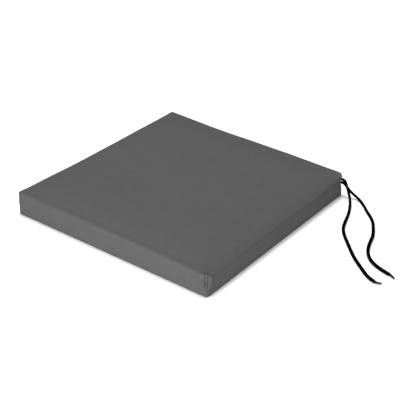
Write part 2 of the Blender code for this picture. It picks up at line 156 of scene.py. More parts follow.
# ======== camera, light and floor
def put(name, data):
    """An object in the scene that shows a mesh, a camera or a light."""
    obj = bpy.data.objects.new(name, data)
    bpy.context.scene.collection.objects.link(obj)
    return obj


def put_shape(name, bm):
    """An object in the scene with a bmesh's shape."""
    mesh = bpy.data.meshes.new(name)
    bm.to_mesh(mesh)
    bm.free()
    return put(name, mesh)


def direction(azimuth, elevation):
    """The way from the pad to a place round it. Azimuth 0 is in front of the pad and 90 is at its right."""
    a, e = math.radians(azimuth), math.radians(elevation)
    return Vector((math.sin(a) * math.cos(e), -math.cos(a) * math.cos(e), math.sin(e)))


def place_camera():
    """A long lens, a little above the pad and to the right of its front."""
    distance, roll = 2.173, math.radians(1.14)
    back = direction(37.02, 30.29)
    right = Vector((0, 0, 1)).cross(back).normalized()
    up = back.cross(right)
    tilted_right = math.cos(roll) * right + math.sin(roll) * up
    tilted_up = math.cos(roll) * up - math.sin(roll) * right
    aim = Vector((PAD_MIDDLE.x + 31.2 * MM, PAD_MIDDLE.y + 0.4 * MM, HEIGHT / 2))
    camera = put("camera", bpy.data.cameras.new("camera"))
    camera.data.sensor_width = 36
    camera.data.lens = 114.5
    camera.data.clip_end = 50
    turn = Matrix((tilted_right, tilted_up, back)).transposed().to_4x4()
    camera.matrix_world = Matrix.Translation(aim + back * distance) @ turn
    bpy.context.scene.camera = camera


def add_softbox(name, azimuth, elevation, distance, width, height, power):
    """A softbox that faces the pad."""
    way = direction(azimuth, elevation)
    light = put(name, bpy.data.lights.new(name, "AREA"))
    light.data.shape = "RECTANGLE"
    light.data.size = width
    light.data.size_y = height
    light.data.energy = power
    turn = way.to_track_quat("Z", "Y").to_matrix().to_4x4()
    light.matrix_world = Matrix.Translation(way * distance) @ turn


def light_the_set():
    """A bright white sweep with even light from all round, a long softbox low in front, and one overhead."""
    world = bpy.data.worlds.new("studio")
    world.use_nodes = True
    background = world.node_tree.nodes["Background"].inputs
    background["Color"].default_value = (1, 1, 1, 1)
    background["Strength"].default_value = 0.6
    bpy.context.scene.world = world
    bpy.context.scene.view_settings.view_transform = "Standard"
    add_softbox("front_softbox", 17, 8, 1.7, 1.2, 0.4, 58)
    add_softbox("overhead_softbox", -115, 84, 1.8, 0.7, 0.7, 41)


def lay_floor(material):
    """The pale studio floor, a hair below the pad's base."""
    bm = bmesh.new()
    bmesh.ops.create_grid(bm, x_segments=1, y_segments=1, size=6)
    bmesh.ops.translate(bm, verts=bm.verts, vec=(0, 0, -0.2 * MM))
    floor = put_shape("floor", bm)
    floor.data.materials.append(material)


# ======== materials
def linear(code):
    """An sRGB hex colour as linear red, green, blue and an alpha of 1."""
    values = [int(code[i : i + 2], 16) / 255 for i in (1, 3, 5)]
    return (*[v / 12.92 if v <= 0.04045 else ((v + 0.055) / 1.055) ** 2.4 for v in values], 1)


def add(tree, kind, inputs=None, to=None, **settings):
    """Add a node with its settings. An input takes a value, or another node's socket as a link. The node's
    first output is linked to another node's input, if one is given."""
    node = tree.nodes.new("ShaderNode" + kind)
    for name, value in settings.items():
        setattr(node, name, value)
    for name, value in (inputs or {}).items():
        if isinstance(value, bpy.types.NodeSocket):
            tree.links.new(value, node.inputs[name])
        else:
            node.inputs[name].default_value = value
    if to is not None:
        tree.links.new(node.outputs[0], to)
    return node


def start_material(name, **constants):
    """A material, its tree, its shader's inputs with the constant ones set, and its Object coordinates."""
    material = bpy.data.materials.new(name)
    material.use_nodes = True
    tree = material.node_tree
    shader = tree.nodes["Principled BSDF"].inputs
    for socket, value in constants.items():
        shader[socket.replace("_", " ")].default_value = value
    return material, tree, shader, add(tree, "TexCoord").outputs["Object"]


def mottle(tree, place, dark, light, patch, to=None, contrast=0.5):
    """A soft, uneven mix of two close colours, with its patches about a size across."""
    clouds = add(tree, "TexNoise", {"Vector": place, "Scale": 1 / patch, "Detail": 4.0, "Roughness": 0.6})
    mix = add(tree, "ValToRGB", {"Fac": clouds.outputs["Fac"]}, to)
    low, high = mix.color_ramp.elements
    low.position, low.color = 0.5 - contrast / 2, linear(dark)
    high.position, high.color = 0.5 + contrast / 2, linear(light)
    return mix.outputs["Color"]


def shade_dye(tree, dye, pattern, lowest, dark, light, to):
    """Light and shade a dye by a pattern whose height goes from its lowest value to 1."""
    shade = add(tree, "MapRange", {"Value": pattern, "From Min": lowest, "To Min": dark, "To Max": light})
    sockets = {"Factor": 1.0, 6: dye, 7: shade.outputs["Result"]}
    colour = add(tree, "Mix", sockets, data_type="RGBA", blend_type="MULTIPLY")
    tree.links.new(colour.outputs[2], to)


def plain_weave(tree, across, along, pitch):
    """The height of a plain weave, one thread over and one under, from two coordinates in metres."""
    waves, heights = [], []
    for coordinate in (across, along):
        turns = add(tree, "Math", {0: coordinate, 1: math.pi / pitch}, operation="MULTIPLY")
        wave = add(tree, "Math", {0: turns.outputs[0]}, operation="SINE").outputs[0]
        waves.append(wave)
        heights.append(add(tree, "Math", {0: wave}, operation="ABSOLUTE").outputs[0])
    product = add(tree, "Math", {0: waves[0], 1: waves[1]}, operation="MULTIPLY")
    over = add(tree, "MapRange", {"Value": product.outputs[0], "From Min": -0.25, "From Max": 0.25})
    sockets = {0: over.outputs["Result"], 2: heights[0], 3: heights[1]}
    return add(tree, "Mix", sockets, data_type="FLOAT").outputs[0]


def coated_polyester():
    """Plain woven polyester with a coating behind it: matt, dark grey, and a little uneven in its dye."""
    material, tree, shader, place = start_material(
        "coated_polyester", Specular_IOR_Level=0.3, Sheen_Weight=0.05, Sheen_Roughness=0.5
    )
    axes = add(tree, "SeparateXYZ", {"Vector": add(tree, "UVMap", uv_map="cut").outputs["UV"]})
    # The real threads are about 0.45 mm apart; they are drawn at 0.9 mm so that they show
    weave = plain_weave(tree, axes.outputs["X"], axes.outputs["Y"], 0.9 * MM)
    dye = mottle(tree, place, "#323232", "#353535", 14 * MM, contrast=0.4)
    shade_dye(tree, dye, weave, 0.0, 0.86, 1.04, shader["Base Color"])
    slubs = add(tree, "TexNoise", {"Vector": place, "Scale": 1 / (3 * MM), "Detail": 3.0}).outputs["Fac"]
    add(tree, "MapRange", {"Value": slubs, "To Min": 0.74, "To Max": 0.9}, shader["Roughness"])
    fine = add(tree, "Bump", {"Height": weave, "Strength": 0.35, "Distance": 0.15 * MM}).outputs["Normal"]
    soft = {"Height": slubs, "Strength": 0.25, "Distance": 0.3 * MM, "Normal": fine}
    add(tree, "Bump", soft, shader["Normal"])
    return material


def polyurethane_foam():
    """Open-celled cushion foam, cut with a hot wire: cream, yellowing, and full of fine pores."""
    material, tree, shader, place = start_material("polyurethane_foam", Roughness=0.95, IOR=1.45)
    mottle(tree, place, "#D9CFAE", "#E9E2C8", 20 * MM, shader["Base Color"])
    pores = add(tree, "TexVoronoi", {"Vector": place, "Scale": 1 / (1.2 * MM)}).outputs["Distance"]
    add(tree, "Bump", {"Height": pores, "Strength": 0.6, "Distance": 0.4 * MM}, shader["Normal"])
    return material


def spun_thread():
    """Three-ply spun polyester sewing thread: matt, with the twist of its plies along it."""
    material, tree, shader, place = start_material("spun_polyester_thread", Roughness=0.75, IOR=1.5)
    mottle(tree, place, "#3A3A3A", "#4C4C4C", 1 * MM, shader["Base Color"])
    # Plies 0.35 mm apart, lying at 45 degrees to the thread
    lean = (0, math.pi / 4, math.pi / 4)
    turned = add(tree, "Mapping", {"Vector": place, "Rotation": lean}).outputs["Vector"]
    plies = add(tree, "TexWave", {"Vector": turned, "Scale": 1 / (2 * 0.35 * MM)}).outputs["Fac"]
    add(tree, "Bump", {"Height": plies, "Strength": 0.5, "Distance": 0.1 * MM}, shader["Normal"])
    return material


def zip_tape_weave():
    """Warp-knitted zip tape: dark, matt, with herringbone ribs along it."""
    material, tree, shader, place = start_material(
        "knitted_zip_tape", Roughness=0.85, IOR=1.5, Sheen_Weight=0.1
    )
    axes = add(tree, "SeparateXYZ", {"Vector": place})
    # Ribs 1.2 mm apart across the tape, and slanted stitches 0.8 mm apart along it
    rib = add(tree, "Math", {0: axes.outputs["Z"], 1: 1.2 * MM}, operation="PINGPONG")
    slant = add(tree, "Math", {0: axes.outputs["X"], 1: rib.outputs[0]}, operation="ADD")
    turns = add(tree, "Math", {0: slant.outputs[0], 1: 2 * math.pi / (0.8 * MM)}, operation="MULTIPLY")
    wave = add(tree, "Math", {0: turns.outputs[0]}, operation="SINE").outputs[0]
    dye = mottle(tree, place, "#363636", "#3E3E3E", 9 * MM)
    shade_dye(tree, dye, wave, -1.0, 0.75, 1.05, shader["Base Color"])
    add(tree, "Bump", {"Height": wave, "Strength": 0.4, "Distance": 0.12 * MM}, shader["Normal"])
    return material


def nylon_monofilament():
    """Dyed nylon monofilament, wound hot into the zip's coil: smooth, with a soft gloss."""
    material, tree, shader, place = start_material("dyed_nylon_monofilament", IOR=1.53, Coat_Weight=0.15)
    mottle(tree, place, "#2B2B2B", "#343434", 6 * MM, shader["Base Color"])
    wear = add(tree, "TexNoise", {"Vector": place, "Scale": 1 / (2.5 * MM)}).outputs["Fac"]
    add(tree, "MapRange", {"Value": wear, "To Min": 0.28, "To Max": 0.5}, shader["Roughness"])
    return material


def enamelled_zinc():
    """Die-cast zinc under baked dark enamel: satin, orange-peeled a little, paler where hands rub it."""
    material, tree, shader, place = start_material(
        "enamelled_die_cast_zinc", IOR=1.5, Coat_Weight=0.3, Coat_Roughness=0.2
    )
    rubbed = add(tree, "TexNoise", {"Vector": place, "Scale": 1 / (4 * MM), "Detail": 5.0}).outputs["Fac"]
    low, high = add(tree, "ValToRGB", {"Fac": rubbed}, shader["Base Color"]).color_ramp.elements
    low.position, low.color = 0.45, linear("#2E2E2F")
    high.position, high.color = 0.75, linear("#454547")
    add(tree, "MapRange", {"Value": rubbed, "To Min": 0.28, "To Max": 0.45}, shader["Roughness"])
    peel = add(tree, "TexNoise", {"Vector": place, "Scale": 1 / (0.8 * MM)}).outputs["Fac"]
    add(tree, "Bump", {"Height": peel, "Strength": 0.15, "Distance": 0.05 * MM}, shader["Normal"])
    return material


def braided_polyester():
    """Braided polyester cord, dyed black: matt, with a fine fuzz over the strands of its braid."""
    material, tree, shader, place = start_material(
        "braided_polyester_cord", Roughness=0.9, Specular_IOR_Level=0.0
    )
    mottle(tree, place, "#020202", "#060606", 2 * MM, shader["Base Color"])
    fuzz = add(tree, "TexNoise", {"Vector": place, "Scale": 1 / (0.5 * MM), "Detail": 4.0}).outputs["Fac"]
    add(tree, "Bump", {"Height": fuzz, "Strength": 0.4, "Distance": 0.15 * MM}, shader["Normal"])
    return material


def sealed_polyester():
    """The cord's end, melted and rolled thin: black, hard and slightly shiny."""
    material, tree, shader, place = start_material(
        "heat_sealed_polyester", Roughness=0.5, Specular_IOR_Level=0.02
    )
    mottle(tree, place, "#030303", "#070707", 2 * MM, shader["Base Color"])
    lumps = add(tree, "TexNoise", {"Vector": place, "Scale": 1 / (1.5 * MM)}).outputs["Fac"]
    add(tree, "Bump", {"Height": lumps, "Strength": 0.5, "Distance": 0.2 * MM}, shader["Normal"])
    return material


def painted_floor():
    """A white painted studio floor, very faintly uneven."""
    material, tree, shader, place = start_material("white_studio_floor", Roughness=0.9, IOR=1.45)
    mottle(tree, place, "#DFDFDF", "#E2E2E2", 0.5, shader["Base Color"])
    return material


# ======== making pieces
def finish_piece(name, bm, material, node, body="pad", smooth_angle=40):
    """Turn a bmesh into a shown piece that rides on a body and stands for its CAD node."""
    piece = put_shape(name, bm)
    piece.data.shade_smooth()
    if smooth_angle < 180:
        piece.data.set_sharp_from_angle(angle=math.radians(smooth_angle))
    piece.data.materials.append(material)
    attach(piece, body)
    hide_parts(node)
    return piece


def set_shape(obj):
    """Apply an object's modifiers to its mesh."""
    graph = bpy.context.evaluated_depsgraph_get()
    result = obj.evaluated_get(graph)
    shaped = bpy.data.meshes.new_from_object(result, preserve_all_data_layers=True, depsgraph=graph)
    obj.modifiers.clear()
    obj.data = shaped


def smooth_path(route, step):
    """Points a step apart along a smooth curve through a route's own points."""
    points = [Vector(p) for p in route]
    guides = [2 * points[0] - points[1], *points, 2 * points[-1] - points[-2]]
    fine = []
    for a, b, c, d in zip(guides, guides[1:], guides[2:], guides[3:]):
        for k in range(40):
            t = k / 40
            bend = (2 * a - 5 * b + 4 * c - d) * t**2 + (3 * b - a - 3 * c + d) * t**3
            fine.append(b + 0.5 * ((c - a) * t + bend))
    fine.append(points[-1])
    lengths = [(q - p).length for p, q in zip(fine, fine[1:])]
    count = max(2, round(sum(lengths) / step))
    spacing = sum(lengths) / count
    path, travelled = [fine[0]], 0.0
    for p, q, length in zip(fine, fine[1:], lengths):
        while travelled + length >= spacing * len(path) and len(path) < count:
            share = (spacing * len(path) - travelled) / length
            path.append(p.lerp(q, share))
        travelled += length
    path.append(fine[-1])
    return path


def frames_along(path, first_side):
    """A frame at each point of a path, turned as little as it can be from one to the next."""
    frames, side = [], first_side
    for i, point in enumerate(path):
        ahead = (path[min(i + 1, len(path) - 1)] - path[max(i - 1, 0)]).normalized()
        side = (side - ahead * side.dot(ahead)).normalized()
        other = ahead.cross(side)
        frames.append(Matrix.Translation(point) @ Matrix((side, other, ahead)).transposed().to_4x4())
    return frames


def sweep(bm, path, radius, sides, first_side=Vector((0, 0, 1)), flatten=1.0):
    """Add a tube along a path, with closed ends. radius is a number, or a function of the share of the
    path run and the angle round it."""
    frames = frames_along(path, first_side)
    last = len(frames) - 1
    tube = bmesh.new()
    bmesh.ops.create_grid(tube, x_segments=sides, y_segments=last, size=1)
    for vert in tube.verts:
        column = round((vert.co.x + 1) / 2 * sides)
        row = round((vert.co.y + 1) / 2 * last)
        angle = 2 * math.pi * (column % sides) / sides
        r = radius(row / last, angle) if callable(radius) else radius
        vert.co = frames[row] @ Vector((r * math.cos(angle), flatten * r * math.sin(angle), 0))
    bmesh.ops.remove_doubles(tube, verts=tube.verts, dist=1e-7)
    bmesh.ops.holes_fill(tube, edges=[e for e in tube.edges if e.is_boundary], sides=0)
    bmesh.ops.recalc_face_normals(tube, faces=tube.faces)
    mesh = bpy.data.meshes.new("tube")
    tube.to_mesh(mesh)
    tube.free()
    bm.from_mesh(mesh)
    bpy.data.meshes.remove(mesh)


def soften(bm, edges, width, segments):
    """Round a bmesh's edges over."""
    bmesh.ops.bevel(
        bm, geom=edges, offset=width, segments=segments, profile=0.5, affect="EDGES", material=-1
    )


def cut_through(bm, place, normal, dist=0.0):
    """Cut a bmesh along a plane and keep both sides of it."""
    everything = bm.verts[:] + bm.edges[:] + bm.faces[:]
    bmesh.ops.bisect_plane(bm, geom=everything, plane_co=place, plane_no=normal, dist=dist)


def beveled_box(low, high, bevel, segments=2):
    """A box between two corners with rounded edges."""
    bm = bmesh.new()
    bmesh.ops.create_cube(bm, size=1)
    low, high = Vector(low), Vector(high)
    bmesh.ops.scale(bm, verts=bm.verts, vec=high - low)
    bmesh.ops.translate(bm, verts=bm.verts, vec=(low + high) / 2)
    soften(bm, bm.edges[:], bevel, segments)
    return bm


# ======== the cover
def half_width_at(y):
    """Half of the pad's width at a place along its depth, y measured from its middle."""
    share = (y + HALF_DEPTH) / (2 * HALF_DEPTH)
    return HALF_WIDTH + (BACK_HALF_WIDTH - HALF_WIDTH) * share


def gaps(flat):
    """How far a place is from the nearer of the left and right sides, and of the front and the back."""
    return HALF_WIDTH - abs(flat.x), HALF_DEPTH - abs(flat.y)


def corner_of(flat):
    """The key of the corner that a place is nearest to."""
    return (1 if flat.x > 0 else -1, 1 if flat.y > 0 else -1)


def face_middle(face, flat):
    """The middle of a face's corners on the plain block."""
    return sum((v[flat] for v in face.verts), Vector()) / len(face.verts)


def grid_lines(half, extra=()):
    """Grid lines between -half and half: close together near the ends, and evenly spaced between them."""
    inner = half - EDGE_LINES[-1]
    count = round(2 * inner / GRID)
    lines = [-inner + 2 * inner * i / count for i in range(count + 1)]
    for inset in (*EDGE_LINES[:-1], *extra):
        lines += [half - inset, inset - half]
    return sorted(lines)


def cut_block():
    """The pad as a plain block, cut into a grid. Its places are kept as the layer that the sewing reads."""
    bm = bmesh.new()
    bmesh.ops.create_cube(bm, size=2)
    bmesh.ops.scale(bm, verts=bm.verts, vec=(HALF_WIDTH, HALF_DEPTH, HEIGHT / 2))
    bmesh.ops.translate(bm, verts=bm.verts, vec=(0, 0, HEIGHT / 2))
    mouth = [ZIP_MIDDLE]
    for inset in MOUTH_LINES:
        mouth += [ZIP_MIDDLE - MOUTH_HALF_HEIGHT - inset, ZIP_MIDDLE + MOUTH_HALF_HEIGHT + inset]
    rows = 34
    levels = [HEIGHT * step / rows for step in range(1, rows)]
    heights = mouth + [z for z in levels if min(abs(z - m) for m in mouth) > 0.6 * MM]
    cuts = [((x, 0, 0), (1, 0, 0)) for x in grid_lines(HALF_WIDTH, (HALF_WIDTH - MOUTH_END,))]
    cuts += [((0, y, 0), (0, 1, 0)) for y in grid_lines(HALF_DEPTH)]
    cuts += [((0, 0, z), (0, 0, 1)) for z in heights]
    for place, normal in cuts:
        cut_through(bm, place, normal, dist=1e-6)
    flat = bm.verts.layers.float_vector.new("flat")
    for vert in bm.verts:
        vert[flat] = vert.co
    return bm


def side_of(flat):
    """The side of the pad that a place is nearest to, and how far along that side it is, from -1 to 1."""
    u, v = flat.x / HALF_WIDTH, flat.y / HALF_DEPTH
    near_x, near_y = gaps(flat)
    if near_x < near_y:
        return ("right", v) if u > 0 else ("left", v)
    return ("back", u) if v > 0 else ("front", u)


def round_over(flat):
    """Take a place on the plain block to its place on the pad, with its corners and edges rounded."""
    x, y, z = flat
    low, high = CORNER_RADII[corner_of(flat)]
    radius = (low + (high - low) * ramp(z / MM, 4, 20)) * MM
    corner_x = max(abs(x) - (HALF_WIDTH - radius), 0)
    corner_y = max(abs(y) - (HALF_DEPTH - radius), 0)
    if corner_x and corner_y:
        reach = max(corner_x, corner_y)
        squash = reach / math.hypot(corner_x, corner_y)
        out = Vector((corner_x, corner_y)).normalized()
        x = math.copysign(HALF_WIDTH - radius + corner_x * squash, x)
        y = math.copysign(HALF_DEPTH - radius + corner_y * squash, y)
        inset = radius - reach
    else:
        near_x, near_y = gaps(flat)
        inset = min(near_x, near_y)
        out = Vector((1, 0)) if near_x < near_y else Vector((0, 1))
    out = Vector((math.copysign(out.x, x), math.copysign(out.y, y)))
    side, along = side_of(flat)
    soft = (1 - along**8) * ramp(1 - abs(along), 0.02, 0.12)
    top_radius = CORNER_ROLL + (ROLL[side] - CORNER_ROLL) * soft
    base_radius = CORNER_BASE_ROLL + (BASE_ROLL[side] - CORNER_BASE_ROLL) * soft
    for level, radius, sign in ((HEIGHT, top_radius, -1), (0, base_radius, 1)):
        drop = abs(z - level)
        if inset < radius and drop < radius:
            turn = math.pi / 4 * (1 - inset / radius + drop / radius)
            inward = radius * (1 - math.sin(turn)) - inset
            z = level + sign * radius * (1 - math.cos(turn))
            x -= out.x * inward
            y -= out.y * inward
            break
    return Vector((x, y, z))


def edge_rise(side, along):
    """How far a top edge rises at a place along it, in metres."""
    stops = EDGE_RISE[side]
    for (near, low), (far, high) in zip(stops, stops[1:]):
        if along <= far:
            return (low + (high - low) * ramp(along, near, far)) * MM
    return stops[-1][1] * MM


def top_rise(u, v):
    """How far the top rises at a place between its four edges, to meet all four."""
    s, t = (u + 1) / 2, (v + 1) / 2
    across = edge_rise("front", u) * (1 - t) + edge_rise("back", u) * t
    along = edge_rise("left", v) * (1 - s) + edge_rise("right", v) * s
    front = edge_rise("front", -1) * (1 - s) + edge_rise("front", 1) * s
    back = edge_rise("back", -1) * (1 - s) + edge_rise("back", 1) * s
    return across + along - (front * (1 - t) + back * t)


def puff(flat, place):
    """Crown the top, let the sides stand out, and draw the corners out."""
    u, v = flat.x / HALF_WIDTH, flat.y / HALF_DEPTH
    up = flat.z / HEIGHT
    place = place.copy()
    place.z += CROWN * (1 - u**4) * (1 - v**4) * up**2 + top_rise(u, v) * up
    place.z -= DROOP * up * (1 - v**30) * (1 - ramp(HALF_WIDTH - flat.x, 0, DROOP_REACH))
    for axis, along, across in ((0, u, v), (1, v, u)):
        near = (("left", "right"), ("front", "back"))[axis][along > 0]
        low, high = STAND[near]
        stand = (low + (high - low) * ramp(up, 0.1, 0.8)) * MM
        place[axis] += math.copysign(stand, along) * abs(along) ** 24 * (1 - across**16)
    key = corner_of(flat)
    low, high = CORNER_PULL[key]
    pull = (low + (high - low) * up) * MM * bell(math.hypot(*gaps(flat)), 12 * MM) * math.sqrt(0.5)
    return place + Vector((key[0] * pull, key[1] * pull, 0))


def swell(obj):
    """Blow the sewn cover up against its seams as cloth, and keep each point near its place."""
    frames = 20
    rest = [v.co.copy() for v in obj.data.vertices]
    flat = [d.vector.copy() for d in obj.data.attributes["flat"].data]
    group = obj.vertex_groups.new(name="sewn")
    for i, f in enumerate(flat):
        # How far the point is from the nearest fold or seam between two faces of the pad
        reach = sorted((*gaps(f), HEIGHT - f.z, f.z))[1]
        in_mouth = f.y > HALF_DEPTH - TOUCH and abs(f.z - ZIP_MIDDLE) < MOUTH_HALF_HEIGHT + 3 * MM
        held = 1.0 if in_mouth or f.z < TOUCH else 1 - ramp(reach, 5 * MM, 18 * MM)
        group.add([i], held, "REPLACE")
    cloth = obj.modifiers.new("swell", "CLOTH")
    settings = cloth.settings
    settings.quality = 4
    settings.mass = 0.2
    settings.tension_stiffness = 20
    settings.compression_stiffness = 20
    settings.shear_stiffness = 10
    settings.bending_stiffness = 0.6
    settings.use_pressure = True
    settings.uniform_pressure_force = 4
    settings.effector_weights.gravity = 0
    settings.vertex_group_mass = group.name
    cloth.collision_settings.use_collision = False
    cloth.point_cache.frame_start = 1
    cloth.point_cache.frame_end = frames
    scene = bpy.context.scene
    for number in range(1, frames + 1):
        scene.frame_set(number)
    graph = bpy.context.evaluated_depsgraph_get()
    blown = [v.co.copy() for v in obj.evaluated_get(graph).data.vertices]
    obj.modifiers.remove(cloth)
    obj.vertex_groups.clear()
    scene.frame_set(1)
    for vert, start, end in zip(obj.data.vertices, rest, blown):
        move = end - start
        if move.length > SWELL_CAP:
            move *= SWELL_CAP / move.length
        vert.co = start + move


def bell(distance, width):
    """1 at a distance of nothing, falling away smoothly over a width."""
    return math.exp(-((distance / width) ** 2))


def ramp(value, low, high):
    """0 below low, 1 above high, and a smooth rise between them."""
    t = min(max((value - low) / (high - low), 0), 1)
    return t * t * (3 - 2 * t)


def ripple(place, size, seed):
    """Soft noise between -1 and 1 with features about a size across."""
    return noise.noise(Vector(place) / size + Vector((seed, 2 * seed, 3 * seed)))


def seam_run(flat):
    """How far round the side of the pad a place is from its corner's seam, in mm. It is positive towards the
    front of the pad or its back, and negative towards its left or right."""
    near_x, near_y = gaps(flat)
    # Their folds have drawn the front seams a little round: one to the front, and one to the right
    shift = 0 if flat.y > 0 else (-1.4 * MM if flat.x > 0 else 2.6 * MM)
    return (near_x - shift if near_x >= near_y else -near_y - shift) / MM


def sew(flat):
    """How far the sewing and handling of the cover move a point out along its normal."""
    near_x, near_y = gaps(flat)
    run, z = seam_run(flat), flat.z / MM
    if TOUCH < flat.z < HEIGHT - TOUCH:
        near_right = flat.x > 0 and flat.y < 0
        strength = 1.0 if near_right else 0.55
        high = ramp(z, 15, 20) * (1 - 0.6 * ramp(z, 36, 42))
        # The corner seam, deepest above the middle, and the folds that it draws beside it
        groove = 1.9 if near_right else 0.8
        move = -groove * bell(run, 0.9) * (0.35 + 0.65 * high)
        for away, height, width in FRONT_FOLDS if run > 0 else SIDE_FOLDS:
            wander = 0.6 * ripple((away, z, 0), 20, 3)
            move += strength * height * bell(abs(run) - away - wander, width) * (0.15 + 0.85 * high)
        # Small crinkles beside the seam, most of all where the corner meets the base
        beside = strength * (1 - bell(run, 3.0))
        low = (1 - ramp(z, 14, 20)) * bell(run, 16) * (1.0 if run > 0 else 0.3)
        move += beside * 2.6 * low * ripple((run, z + 0.5 * run, 5), 3.4, 5)
        move += beside * 1.1 * bell(run - 9, 12) * ripple((run, z, 9), 4.5, 4)
        move += beside * 2.2 * bell(run - 20, 16) * ripple((run, z - 0.8 * run, 7), 8, 8)
        # Puckers along the base seam, and the slack of the sides
        move += 0.35 * ripple((flat.x, flat.y, 0), 9 * MM, 11) * bell(z - 2.5, 3)
        move += 0.5 * ripple(flat, 55 * MM, 3) * ramp(max(near_x, near_y), 4 * MM, 30 * MM)
        return move * MM
    if flat.z > HEIGHT / 2:
        # The dimple at the head of each corner seam, and the slack of the top
        dimple = bell(math.hypot(run, min(near_x, near_y) / MM), 2.0)
        slack = ripple(flat, 70 * MM, 7) * ramp(min(near_x, near_y), 3 * MM, 30 * MM)
        depth = 0.9 if flat.x > 0 and flat.y < 0 else 0.3
        return (0.35 * slack + 0.12 * ripple(flat, 22 * MM, 9) - depth * dimple) * MM
    return 0.0


def mouth_fold(flat):
    """How far the zip opening's folded and stitched edges stand out from the back of the cover."""
    if flat.y < HALF_DEPTH - TOUCH:
        return 0.0
    along = abs(flat.x) - MOUTH_END
    away = abs(flat.z - ZIP_MIDDLE) - MOUTH_HALF_HEIGHT
    if away < -TOUCH or along > 12 * MM:
        return 0.0
    fade = 1 - ramp(along, 0, 12 * MM)
    lip = 0.35 * MM * (1 - bell(away, 0.9 * MM)) * (1 - ramp(away, 2 * MM, 5 * MM))
    return fade * (lip - 0.3 * MM * bell(away - STITCH_MARGIN, 0.8 * MM))


def tie_pinch(flat):
    """The notch that the tie draws into the back right corner's seam, below the rounded end of its top."""
    if flat.x < 0 or flat.y < 0:
        return Vector((0, 0, 0))
    corner = math.hypot(*gaps(flat))
    above = flat.z - TIE_HEIGHT
    depth = 2.6 * MM * bell(corner, 9 * MM) * bell(above, 3.5 * MM if above > 0 else 12 * MM)
    round_off = 1.2 * MM * bell(corner, 7 * MM) * bell(flat.z - HEIGHT, 3.5 * MM)
    return Vector((-1, -1, 0)).normalized() * (depth + round_off)


def lay_out_cut(bm):
    """Give every face its place on the flat cloth that the panel was cut from, for the weave to follow."""
    flat = bm.verts.layers.float_vector["flat"]
    cut = bm.loops.layers.uv.new("cut")
    for face in bm.faces:
        middle = face_middle(face, flat)
        gap_x, gap_y = gaps(middle)
        gap_z = min(HEIGHT - middle.z, middle.z)
        for loop in face.loops:
            f = loop.vert[flat]
            u, v = f.x, f.y
            if gap_z > TOUCH and gap_x <= gap_y:
                u = math.copysign(HALF_WIDTH + HEIGHT - f.z, middle.x)
            elif gap_z > TOUCH:
                v = math.copysign(HALF_DEPTH + HEIGHT - f.z, middle.y)
            loop[cut].uv = (u, v)


def sewn_cover():
    """The whole cover as one closed skin, swollen by the foam and sewn at its corners and base."""
    bm = cut_block()
    flat = bm.verts.layers.float_vector["flat"]
    for vert in bm.verts:
        vert.co = puff(vert[flat], round_over(vert[flat]))
    skin = put_shape("cover_skin", bm)
    swell(skin)
    bm = bmesh.new()
    bm.from_mesh(skin.data)
    bpy.data.objects.remove(skin)
    bmesh.ops.recalc_face_normals(bm, faces=bm.faces)
    bm.normal_update()
    flat = bm.verts.layers.float_vector["flat"]
    moves = []
    for vert in bm.verts:
        f = vert[flat].copy()
        moves.append(vert.normal * (sew(f) + mouth_fold(f)) + tie_pinch(f))
    for vert, move in zip(bm.verts, moves):
        vert.co += move
        vert.co.x *= half_width_at(vert[flat].y) / HALF_WIDTH
        vert.co.z = 0 if vert[flat].z < TOUCH else max(vert.co.z, 0)
        vert.co += Vector((PAD_MIDDLE.x, PAD_MIDDLE.y, 0))
    lay_out_cut(bm)
    return bm


def panel_of(face, flat):
    """Which panel a face of the cover belongs to, or "mouth" where the zip shows between the two."""
    middle = face_middle(face, flat)
    if middle.z < TOUCH:
        return "base"
    on_back = HALF_DEPTH - middle.y < TOUCH
    if not on_back or abs(middle.x) > HALF_WIDTH - BACK_ALLOWANCE:
        return "top"
    if abs(middle.x) < MOUTH_END and abs(middle.z - ZIP_MIDDLE) < MOUTH_HALF_HEIGHT:
        return "mouth"
    return "top" if middle.z > ZIP_MIDDLE else "base"


def cover_panels(cloth):
    """The two panels of the cover, each with its own thickness of cloth behind its face."""
    skin = sewn_cover()
    for name, panel, node in (
        ("cover_top_cloth", "top", "cover_top_panel"),
        ("cover_base_cloth", "base", "cover_bottom_panel"),
    ):
        bm = skin.copy()
        flat = bm.verts.layers.float_vector["flat"]
        others = [f for f in bm.faces if panel_of(f, flat) != panel]
        bmesh.ops.delete(bm, geom=others, context="FACES")
        piece = finish_piece(name, bm, cloth, node, smooth_angle=180)
        thickness = piece.modifiers.new("cloth", "SOLIDIFY")
        thickness.thickness = CLOTH
        thickness.offset = -1
        thickness.use_even_offset = False
        set_shape(piece)
    skin.free()


